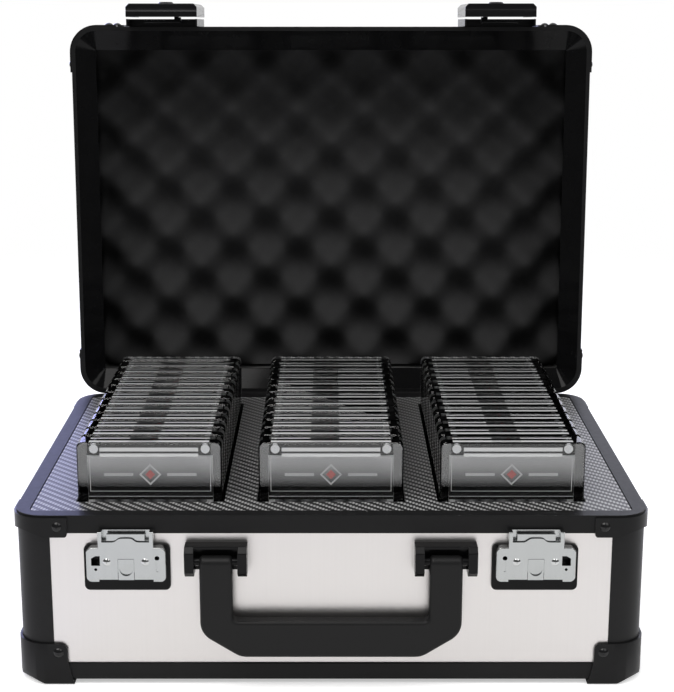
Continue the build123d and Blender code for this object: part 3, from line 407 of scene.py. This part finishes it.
# Which finish each CAD node wears
finishNodes = {
    "brushedSilver": [
        "base_front_panel", "base_back_panel", "base_left_panel", "base_right_panel", "base_floor_panel",
        "lid_front_panel", "lid_back_panel", "lid_left_panel", "lid_right_panel", "lid_top_panel",
    ],
    "blackRail": ["base_rim_rail", "base_lower_rail", "lid_rim_rail", "lid_upper_rail"],
    "postBlack": ["base_corner_posts", "lid_corner_posts"],
    "cornerMetal": ["base_rim_brackets", "base_ball_corners", "lid_rim_brackets", "lid_ball_corners"],
    "rivetBlack": ["base_rivets"],
    "domeGloss": ["lid_rivets"],
    "leverGloss": ["left_strike_lever", "right_strike_lever"],
    "darkSteel": ["left_lock_barrel", "right_lock_barrel"],
    "footRubber": ["feet"],
    "blackMetal": [
        "handle_brackets", "handle_pins", "latch_backing_plates", "strike_brackets",
        "hinge_base_leaves", "hinge_lid_leaves",
    ],
    "handlePlastic": ["handle_grip"],
    "satinChrome": [
        "latch_plates", "left_latch_catch", "right_latch_catch", "left_thumb_tongue", "right_thumb_tongue",
    ],
    "rivetChrome": ["latch_rivets"],
    "pinSteel": ["hinge_pins", "latch_catch_pins", "strike_lever_pins"],
    "trimGloss": ["lid_trim_frame"],
    "lidLining": ["lid_liner"],
    "softFoam": ["lid_foam", "tray_foam"],
    "twillDeck": ["tray_deck"],
    "magnetSteel": [name + "_row_magnets" for name in rowNames],
}
for rowName in rowNames:
    finishNodes[rowName + "FrontAcrylic"] = [rowName + "_row_front_shells"]
    finishNodes[rowName + "BackAcrylic"] = [rowName + "_row_back_shells"]
    finishNodes[rowName + "Insert"] = [rowName + "_row_inserts"]


def wear(piece, finish):
    if not piece.material_slots:
        piece.data.materials.append(finish)
    for slot in piece.material_slots:
        slot.material = finish


for finishName, nodeNames in finishNodes.items():
    for nodeName in nodeNames:
        wear(caseNodes[nodeName], finishes[finishName])
print("3: CAD nodes dressed")


# Rounded edges on the sharp CAD parts, so that they catch the light: the nodes that get each width
edgeWidths = {
    0.0006: ["base_rim_rail", "base_lower_rail", "lid_rim_rail", "lid_upper_rail"],
    0.0010: ["base_ball_corners", "lid_ball_corners"],
    0.0003: ["handle_brackets", "strike_brackets", "left_strike_lever", "right_strike_lever", "tray_deck"],
}
edgeLook = {"weld": 1e-6, "segments": 2, "sharpFrom": 40}      # sharpFrom in degrees


def softenEdges(piece, width, look):
    weld = piece.modifiers.new("joinCorners", "WELD")
    weld.merge_threshold = look["weld"]
    bevel = piece.modifiers.new("softEdge", "BEVEL")
    bevel.width = width
    bevel.segments = look["segments"]
    bevel.limit_method = "ANGLE"
    bevel.angle_limit = math.radians(look["sharpFrom"])
    bevel.harden_normals = False


# Helpers for the pieces that are modelled here
def finishPiece(piece, name, finish, body, smoothAngle=40):
    if bpy.context.mode != "OBJECT":
        bpy.ops.object.mode_set(mode="OBJECT")
    bpy.ops.object.select_all(action="DESELECT")
    bpy.context.view_layer.objects.active = piece
    piece.select_set(True)
    bpy.ops.object.transform_apply(location=True, rotation=True, scale=True)
    bpy.ops.object.shade_smooth_by_angle(angle=math.radians(smoothAngle))
    piece.select_set(False)
    piece.name = name
    piece.data.name = name
    wear(piece, finish)
    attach(piece, body)


def applyAll(piece):
    bpy.context.view_layer.objects.active = piece
    for modifier in list(piece.modifiers):
        bpy.ops.object.modifier_apply(modifier=modifier.name)


near = 0.001      # how close a face or edge lies to the place it is picked by


def selectWhere(piece, kind, test):
    # selects the vertices, edges or faces of the edited piece that pass the test
    bpy.ops.object.mode_set(mode="OBJECT")
    mesh = piece.data
    for group in (mesh.vertices, mesh.edges, mesh.polygons):
        group.foreach_set("select", [False] * len(group))
    for item in {"VERT": mesh.vertices, "EDGE": mesh.edges, "FACE": mesh.polygons}[kind]:
        item.select = test(item)
    bpy.ops.object.mode_set(mode="EDIT")
    bpy.ops.mesh.select_mode(type=kind)


# The convoluted lid foam, drawn on the closed case with its crests down, then opened with the lid
lidFoamLook = {
    "halfWidth": 0.1679, "halfDepth": 0.1189, "cornerRadius": 0.0099, "mouthHeight": 0.1004,
    "crestDepth": 0.037, "hollowDepth": 0.061, "backDepth": 0.0736,
    "halfPitchX": 0.0233, "halfPitchY": 0.0220, "shiftY": 0.0184, "cutsPerHalfPitch": 5, "smoothAngle": 60,
    "fill": 0.7,
}
hingePoint = Vector((0, 0.1265, 0.1002))
lidAngle = math.radians(92)      # from shut to open
lidSwing = Matrix.Rotation(-lidAngle, 4, "X")
openLid = Matrix.Translation(hingePoint) @ lidSwing @ Matrix.Translation(-hingePoint)


def roundCorner(point, look):
    # moves a point of the square corner onto the round one
    radius = look["cornerRadius"]
    u = (abs(point.x) - look["halfWidth"] + radius) / radius
    v = (abs(point.y) - look["halfDepth"] + radius) / radius
    if u > 0 and v > 0:
        x = look["halfWidth"] - radius + radius * u * math.sqrt(1 - v * v / 2)
        y = look["halfDepth"] - radius + radius * v * math.sqrt(1 - u * u / 2)
        point.x, point.y = math.copysign(x, point.x), math.copysign(y, point.y)


def makeLidFoam(look):
    columns = round(2 * look["halfWidth"] / look["halfPitchX"] * look["cutsPerHalfPitch"])
    rows = round(2 * look["halfDepth"] / look["halfPitchY"] * look["cutsPerHalfPitch"])
    bpy.ops.mesh.primitive_grid_add(x_subdivisions=columns, y_subdivisions=rows, size=1)
    foam = bpy.context.object
    bpy.ops.object.mode_set(mode="EDIT")
    bpy.ops.transform.resize(value=(2 * look["halfWidth"], 2 * look["halfDepth"], 1))
    bpy.ops.mesh.extrude_region_move(TRANSFORM_OT_translate={"value": (0, 0, look["backDepth"])})
    bpy.ops.mesh.select_all(action="SELECT")
    bpy.ops.mesh.normals_make_consistent(inside=False)
    bpy.ops.object.mode_set(mode="OBJECT")
    middle = (look["crestDepth"] + look["hollowDepth"]) / 2
    swing = (look["hollowDepth"] - look["crestDepth"]) / 2
    for vertex in foam.data.vertices:
        point = vertex.co
        if point.z < look["backDepth"] / 2:
            across = math.cos(math.pi * point.x / look["halfPitchX"])
            along = math.cos(math.pi * (point.y - look["shiftY"]) / look["halfPitchY"])
            point.z = middle + swing * across * along
        point.z += look["mouthHeight"]
        roundCorner(point, look)
    foam.data.transform(openLid)
    smooth = foam.modifiers.new("smooth", "SUBSURF")
    smooth.levels = smooth.render_levels = 1
    applyAll(foam)
    finishPiece(foam, "lidFoam", finishes["softFoam"], "lid", look["smoothAngle"])
    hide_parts("lid_foam")


# The foam block under the deck, with a slot for each row of holders
trayFoamLook = {
    "halfWidth": 0.1662, "halfDepth": 0.1172, "low": 0.0087, "high": 0.0984, "slotFloor": 0.0157,
    "slotHalf": 0.0417, "slotFront": -0.1023, "slotBack": 0.1, "rimRadius": 0.0008, "rimSegments": 2,
    "cornerRadius": 0.003, "cornerSegments": 4, "fill": 0.9,
}


def makeTrayFoam(look):
    columns = [-look["halfWidth"], look["halfWidth"]]
    for centre in rowCentres:
        columns += [centre - look["slotHalf"], centre + look["slotHalf"]]
    columns.sort()
    rows = [-look["halfDepth"], look["slotFront"], look["slotBack"], look["halfDepth"]]
    bpy.ops.mesh.primitive_grid_add(x_subdivisions=len(columns) - 1, y_subdivisions=len(rows) - 1, size=1)
    foam = bpy.context.object
    for vertex in foam.data.vertices:
        column = round((vertex.co.x + 0.5) * (len(columns) - 1))
        row = round((vertex.co.y + 0.5) * (len(rows) - 1))
        vertex.co = (columns[column], rows[row], look["low"])
    bpy.ops.object.mode_set(mode="EDIT")
    bpy.ops.mesh.select_all(action="SELECT")
    rise = look["high"] - look["low"]
    bpy.ops.mesh.extrude_region_move(TRANSFORM_OT_translate={"value": (0, 0, rise)})
    bpy.ops.mesh.select_all(action="SELECT")
    bpy.ops.mesh.normals_make_consistent(inside=False)

    def isSlot(face):
        inRow = look["slotFront"] < face.center.y < look["slotBack"]
        inColumn = any(abs(face.center.x - centre) < near for centre in rowCentres)
        return inRow and inColumn and face.center.z > look["high"] - near

    selectWhere(foam, "FACE", isSlot)
    sink = look["slotFloor"] - look["high"]
    bpy.ops.mesh.extrude_region_move(TRANSFORM_OT_translate={"value": (0, 0, sink)})

    def isBlockCorner(edge):
        ends = [foam.data.vertices[index].co for index in edge.vertices]
        upright = abs(ends[0].z - ends[1].z) > near
        atSide = abs(abs(ends[0].x) - look["halfWidth"]) < near
        atEnd = abs(abs(ends[0].y) - look["halfDepth"]) < near
        return upright and atSide and atEnd

    selectWhere(foam, "EDGE", isBlockCorner)
    bpy.ops.mesh.bevel(offset=look["cornerRadius"], segments=look["cornerSegments"])
    bpy.ops.object.mode_set(mode="OBJECT")
    edge = foam.modifiers.new("cutEdge", "BEVEL")
    edge.width = look["rimRadius"]
    edge.segments = look["rimSegments"]
    edge.limit_method = "ANGLE"
    applyAll(foam)
    finishPiece(foam, "trayFoam", finishes["softFoam"], "base")
    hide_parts("tray_foam")


# A thin rubber dust seal along the back of the mouth, between the lid and the base
sealLook = {
    "y": 0.1262, "half": 0.00022, "low": 0.0990, "high": 0.1010, "bead": 0.0001, "beadSegments": 2,
    "pressed": 0.6, "spans": ((-0.150, -0.130), (-0.080, 0.080), (0.130, 0.150)),
}


def makeDustSeal(look):
    spans = []
    for low, high in look["spans"]:
        middle, height = (low + high) / 2, (look["low"] + look["high"]) / 2
        bpy.ops.mesh.primitive_cube_add(size=1, location=(middle, look["y"], height))
        span = bpy.context.object
        bpy.ops.object.mode_set(mode="EDIT")
        size = (high - low, 2 * look["half"], look["high"] - look["low"])
        bpy.ops.transform.resize(value=size, center_override=(middle, look["y"], height))
        bpy.ops.mesh.select_all(action="SELECT")
        bpy.ops.mesh.bevel(offset=look["bead"], segments=look["beadSegments"])
        bpy.ops.object.mode_set(mode="OBJECT")
        span.select_set(False)
        spans.append(span)
    for span in spans:
        span.select_set(True)
    bpy.context.view_layer.objects.active = spans[0]
    bpy.ops.object.join()
    seal = spans[0]
    finishPiece(seal, "dustSeal", finishes["footRubber"], "base")
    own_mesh(seal)


makeLidFoam(lidFoamLook)
makeTrayFoam(trayFoamLook)
makeDustSeal(sealLook)
print("4: foam and dust seal modelled")

for edgeWidth, nodeNames in edgeWidths.items():
    for nodeName in nodeNames:
        softenEdges(caseNodes[nodeName], edgeWidth, edgeLook)
print("5: edges softened")


# The stage: a pale floor that fades into a white world, soft lamps and the camera
stageLook = {
    "floorSize": 8.0, "floorTone": (0.93, 0.93, 0.93), "fadeFrom": 0.45, "fadeTo": 1.3, "lift": 0.45,
    "worldFill": (1.0, 1.0, 1.0), "worldFillStrength": 0.55, "worldShown": (1.0, 1.0, 1.0),
    # what mirrors see: a little less light than the camera, and a dark room where they look to the front
    "glossDrop": -0.16, "frontDark": 0.12, "darkFrom": -0.45, "darkTo": -0.12,
}
lampTarget = Vector((0, 0, 0.12))      # just above the middle of the base
lamps = {
    "keyLamp": {
        "at": (-0.7, -1.1, 2.3), "size": 1.6, "power": 30, "colour": (1.0, 0.985, 0.975), "diffuse": 1.0,
    },
    "fillLamp": {
        "at": (1.3, -1.2, 1.9), "size": 1.6, "power": 13.5, "colour": (1.0, 0.995, 0.99), "diffuse": 1.0,
    },
    # two low lamps behind the case, for the sheen along the deck and the rim
    "lavenderLamp": {
        "at": (-0.66, 1.35, 0.62), "size": 0.75, "power": 6.2, "colour": (0.42, 0.45, 1.0), "diffuse": 0.3,
    },
    "greyLamp": {
        "at": (0.66, 1.35, 0.62), "size": 0.75, "power": 2.6, "colour": (0.74, 0.76, 1.0), "diffuse": 0.3,
    },
}
cameraLook = {
    "at": (0.0, -0.9286, 0.38975), "down": 13.62, "lens": 80.8, "sensor": 36.0, "shiftX": 6 / 692,
    "clipEnd": 60,
}


def makeFloor(look):
    bpy.ops.mesh.primitive_plane_add(size=look["floorSize"])
    floor = bpy.context.object
    floor.name = "paleFloor"
    finish = newFinish("paleFloor", look["floorTone"], {"Roughness": 1.0, "Specular IOR Level": 0.0})
    distance = addNode(finish, "ShaderNodeVectorMath", operation="LENGTH")
    joinTo(finish, objectPlace(finish), distance, 0)
    fade = ramp(finish, distance.outputs["Value"], look["fadeFrom"], look["fadeTo"], smooth=True)
    rays = addNode(finish, "ShaderNodeLightPath")
    lift = addNode(finish, "ShaderNodeEmission", {"Color": (1, 1, 1, 1)})
    shownLift = calculate(finish, "MULTIPLY", rays.outputs["Is Camera Ray"], look["lift"])
    joinTo(finish, shownLift, lift, "Strength")
    lit = addNode(finish, "ShaderNodeAddShader")
    joinTo(finish, shaderOf(finish).outputs["BSDF"], lit, 0)
    joinTo(finish, lift.outputs["Emission"], lit, 1)
    clear = addNode(finish, "ShaderNodeBsdfTransparent")
    mix = addNode(finish, "ShaderNodeMixShader")
    joinTo(finish, fade, mix, 0)
    joinTo(finish, lit.outputs["Shader"], mix, 1)
    joinTo(finish, clear.outputs["BSDF"], mix, 2)
    joinTo(finish, mix.outputs["Shader"], finish.node_tree.nodes["Material Output"], "Surface")
    wear(floor, finish)


def makeWorld(look):
    world = bpy.data.worlds.new("softStudio")
    world.use_nodes = True
    bpy.context.scene.world = world
    fill = world.node_tree.nodes["Background"]
    fill.inputs["Color"].default_value = (*look["worldFill"], 1)
    fill.inputs["Strength"].default_value = look["worldFillStrength"]
    shown = addNode(world, "ShaderNodeBackground", {"Color": (*look["worldShown"], 1)})
    rays = addNode(world, "ShaderNodeLightPath")
    mirrored = rays.outputs["Is Glossy Ray"]
    seen = calculate(world, "MAXIMUM", rays.outputs["Is Camera Ray"], mirrored)
    seen = calculate(world, "MAXIMUM", seen, rays.outputs["Is Transmission Ray"])
    # mirrored rays that leave to the front, level or upwards, find a dark room
    direction = addNode(world, "ShaderNodeTexCoord")
    split = addNode(world, "ShaderNodeSeparateXYZ")
    joinTo(world, direction.outputs["Generated"], split, 0)
    toFront = calculate(world, "LESS_THAN", split.outputs["Y"], 0.0)
    upward = ramp(world, split.outputs["Z"], look["darkFrom"], look["darkTo"])
    dark = calculate(world, "MULTIPLY", mirrored, toFront)
    dark = calculate(world, "MULTIPLY", dark, upward)
    room = spread(world, dark, 1.0, look["frontDark"])
    # and mirrors see the whole room a little dimmer than the camera does
    dimmer = calculate(world, "MULTIPLY_ADD", mirrored, look["glossDrop"], 1.0)
    joinTo(world, calculate(world, "MULTIPLY", room, dimmer), shown, "Strength")
    mix = addNode(world, "ShaderNodeMixShader")
    joinTo(world, seen, mix, 0)
    joinTo(world, fill.outputs[0], mix, 1)
    joinTo(world, shown.outputs[0], mix, 2)
    joinTo(world, mix.outputs[0], world.node_tree.nodes["World Output"], "Surface")


def makeLamp(name, look):
    lamp = bpy.data.lights.new(name, "AREA")
    lamp.shape = "SQUARE"
    lamp.size = look["size"]
    lamp.energy = look["power"]
    lamp.color = look["colour"]
    lamp.diffuse_factor = look["diffuse"]
    holder = bpy.data.objects.new(name, lamp)
    bpy.context.scene.collection.objects.link(holder)
    holder.location = look["at"]
    holder.rotation_euler = (lampTarget - holder.location).to_track_quat("-Z", "Y").to_euler()


def makeCamera(look):
    camera = bpy.data.cameras.new("photoCamera")
    camera.lens = look["lens"]
    camera.sensor_width = look["sensor"]
    camera.shift_x = look["shiftX"]
    camera.clip_end = look["clipEnd"]
    holder = bpy.data.objects.new("photoCamera", camera)
    bpy.context.scene.collection.objects.link(holder)
    holder.location = look["at"]
    holder.rotation_euler = (math.radians(90 - look["down"]), 0, 0)
    bpy.context.scene.camera = holder


makeFloor(stageLook)
makeWorld(stageLook)
for lampName, lampLook in lamps.items():
    makeLamp(lampName, lampLook)
makeCamera(cameraLook)
bpy.context.scene.view_settings.view_transform = "Standard"
print("6: stage, lamps and camera set")
